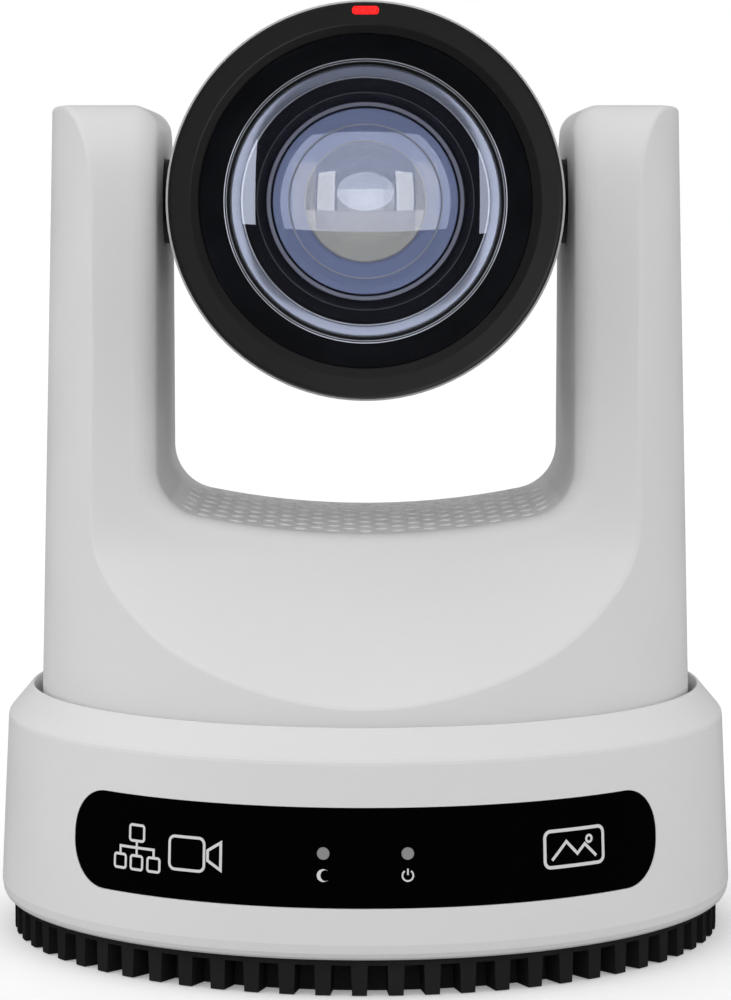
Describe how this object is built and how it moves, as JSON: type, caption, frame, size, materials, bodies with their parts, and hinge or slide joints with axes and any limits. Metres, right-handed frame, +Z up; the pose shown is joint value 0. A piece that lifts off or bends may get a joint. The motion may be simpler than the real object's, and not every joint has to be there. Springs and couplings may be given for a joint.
{
  "type": "ptz camera",
  "caption": "Desktop pan-tilt-zoom camera: round base with ribbed foot and smoked front window, rotating U-shaped yoke and a tilting lens head with tally light.",
  "frame": {"origin": "centre of the round base, on the surface the rubber feet stand on", "axes": "+Z up; the lens looks along -Y at rest; +X to the right of somebody facing the lens"},
  "size_m": [0.144, 0.144, 0.1798],
  "materials": {
    "white_shell": "fine satin moulded",
    "black_gloss": "smoked gloss",
    "black_satin": "satin moulded",
    "black_matte": "dead matt",
    "ribbed_base": "black powder coat on die casting",
    "clear_pipe": "frosted clear",
    "tally_red": "lit red lens",
    "rubber": "matt",
    "brass": "turned",
    "steel": "zinc plated",
    "steel_black": "blackened",
    "cast_alloy": "as cast",
    "motor_can": "drawn can",
    "board_green": "solder mask",
    "socket_shell": "nickel plated",
    "socket_black": "moulded",
    "gear_nylon": "natural acetal",
    "glass": "coated",
    "sensor": "cover glass"
  },
  "bodies": {
    "base": {"base_housing": "white_shell", "front_window": "black_gloss", "status_light_pipes": "clear_pipe", "base_plate": "ribbed_base", "threaded_inserts": "brass", "rubber_feet": "rubber", "base_fasteners": "steel_black", "pan_spindle": "cast_alloy", "spindle_nut": "steel", "pan_motor_bracket": "steel", "pan_motor": "motor_can", "main_board": "board_green", "rear_panel": "steel_black", "power_inlet": "socket_black", "video_coax_socket": "socket_shell", "network_socket": "socket_shell", "digital_video_socket": "socket_shell", "audio_sockets": "socket_black", "control_sockets": "socket_black", "status_board": "board_green"},
    "pan_pinion": {"pan_pinion": "brass"},
    "yoke": {"turntable": "cast_alloy", "pan_bearing": "steel", "pan_gear": "gear_nylon", "yoke_fasteners": "steel", "saddle_grille": "white_shell", "yoke_front_cover": "white_shell", "yoke_rear_cover": "white_shell", "arm_brackets": "steel", "tilt_bearings": "steel", "tilt_motor_plate": "steel", "tilt_motor": "motor_can", "drive_board": "board_green"},
    "tilt_pinion": {"tilt_pinion": "brass"},
    "head": {"tilt_gear": "gear_nylon", "tilt_trunnions": "steel_black", "head_lower_shell": "white_shell", "head_upper_shell": "white_shell", "head_screws": "steel", "front_ring": "black_satin", "tally_light": "tally_red", "lens_hood": "black_matte", "lens_barrel": "black_matte", "front_element": "glass", "front_retainer": "black_satin", "lens_baffle": "black_matte", "second_element": "glass", "guide_rods": "steel", "lens_motors": "motor_can", "iris_unit": "black_matte", "image_sensor": "sensor", "sensor_board": "board_green", "video_board": "board_green", "head_chassis": "cast_alloy"},
    "zoom_group": {"zoom_cell": "black_satin", "zoom_lens": "glass"},
    "focus_group": {"focus_cell": "black_satin", "focus_lens": "glass"},
    "zoom_screw": {"zoom_screw": "steel"},
    "focus_screw": {"focus_screw": "steel"}
  },
  "joints": [
    {"name": "pan", "type": "hinge", "parent": "base", "child": "yoke", "pos_m": [0, 0, 0.045], "axis": [0, 0, 1], "range_deg": [-170, 170]},
    {"name": "pan_pinion_spin", "type": "hinge", "parent": "base", "child": "pan_pinion", "pos_m": [0, -0.0384, 0.04], "axis": [0, 0, 1], "range_deg": [-855, 855]},
    {"name": "tilt", "type": "hinge", "parent": "yoke", "child": "head", "pos_m": [0, 0, 0.1425], "axis": [-1, 0, 0], "range_deg": [-30, 90]},
    {"name": "tilt_pinion_spin", "type": "hinge", "parent": "yoke", "child": "tilt_pinion", "pos_m": [-0.048, 0, 0.1245], "axis": [-1, 0, 0], "range_deg": [-380, 130]},
    {"name": "zoom_slide", "type": "slide", "parent": "head", "child": "zoom_group", "axis": [0, 1, 0], "range_m": [0, 0.014]},
    {"name": "zoom_screw_turn", "type": "hinge", "parent": "head", "child": "zoom_screw", "pos_m": [0, 0, 0.163], "axis": [0, 1, 0], "range_deg": [-1700, 10]},
    {"name": "focus_slide", "type": "slide", "parent": "head", "child": "focus_group", "axis": [0, 1, 0], "range_m": [0, 0.004]},
    {"name": "focus_screw_turn", "type": "hinge", "parent": "head", "child": "focus_screw", "pos_m": [0, 0, 0.122], "axis": [0, 1, 0], "range_deg": [-490, 10]}
  ],
  "couplings": [
    {"joint": "pan_pinion_spin", "follows": "pan", "ratio": -5},
    {"joint": "tilt_pinion_spin", "follows": "tilt", "ratio": -4.1429},
    {"joint": "zoom_screw_turn", "follows": "zoom_slide", "rad_per_m": -2094.4},
    {"joint": "focus_screw_turn", "follows": "focus_slide", "rad_per_m": -2094.4}
  ]
}
